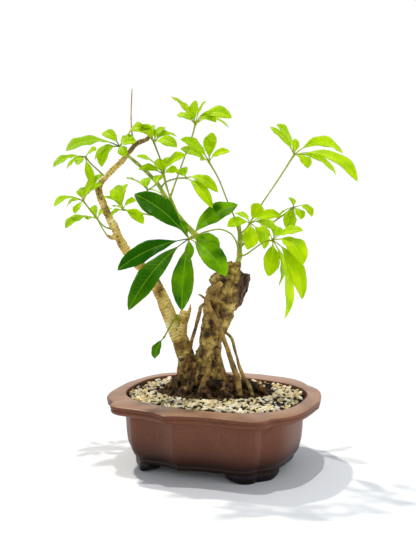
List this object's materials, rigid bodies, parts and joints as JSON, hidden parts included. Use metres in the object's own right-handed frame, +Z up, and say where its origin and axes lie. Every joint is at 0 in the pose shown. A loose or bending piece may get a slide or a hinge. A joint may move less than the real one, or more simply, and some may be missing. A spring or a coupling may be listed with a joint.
{
  "type": "potted umbrella tree bonsai",
  "caption": "Umbrella tree bonsai with a leaning twin trunk, aerial roots and palmate leaves, in a lobed stoneware bonsai pot on bracket feet.",
  "frame": {"origin": "middle of the bounding box, on the surface that the pot's feet stand on", "axes": "+Z up, +X along the pot's long side; the plant's best side faces 22.5 degrees from -Y towards +X"},
  "size_m": [0.2814, 0.1864, 0.354],
  "materials": {
    "stoneware": "unglazed matte red-brown stoneware",
    "drain_plastic": "moulded black mesh",
    "soil": "dark loose potting soil",
    "gravel": "mixed cream, ochre and black grains",
    "bark": "rough mottled bark",
    "green_stem": "smooth green stem",
    "young_leaf": "soft waxy bright green",
    "mature_leaf": "glossy deep green"
  },
  "bodies": {
    "root": {"drain_mesh_left": "drain_plastic", "drain_mesh_right": "drain_plastic", "gravel": "gravel", "leaf_centre": "young_leaf", "leaf_centre_right": "young_leaf", "leaf_far_left": "young_leaf", "leaf_front": "mature_leaf", "leaf_inner": "young_leaf", "leaf_left": "young_leaf", "leaf_left_front": "young_leaf", "leaf_left_low": "young_leaf", "leaf_low": "mature_leaf", "leaf_middle": "young_leaf", "leaf_right": "young_leaf", "leaf_right_hanging": "young_leaf", "leaf_right_high": "young_leaf", "leaf_right_small": "young_leaf", "leaf_shoot_end": "young_leaf", "leaf_top": "young_leaf", "leaf_top_left": "young_leaf", "left_shoot": "green_stem", "pot": "stoneware", "right_shoot": "green_stem", "soil": "soil", "trunk": "bark"}
  },
  "joints": []
}
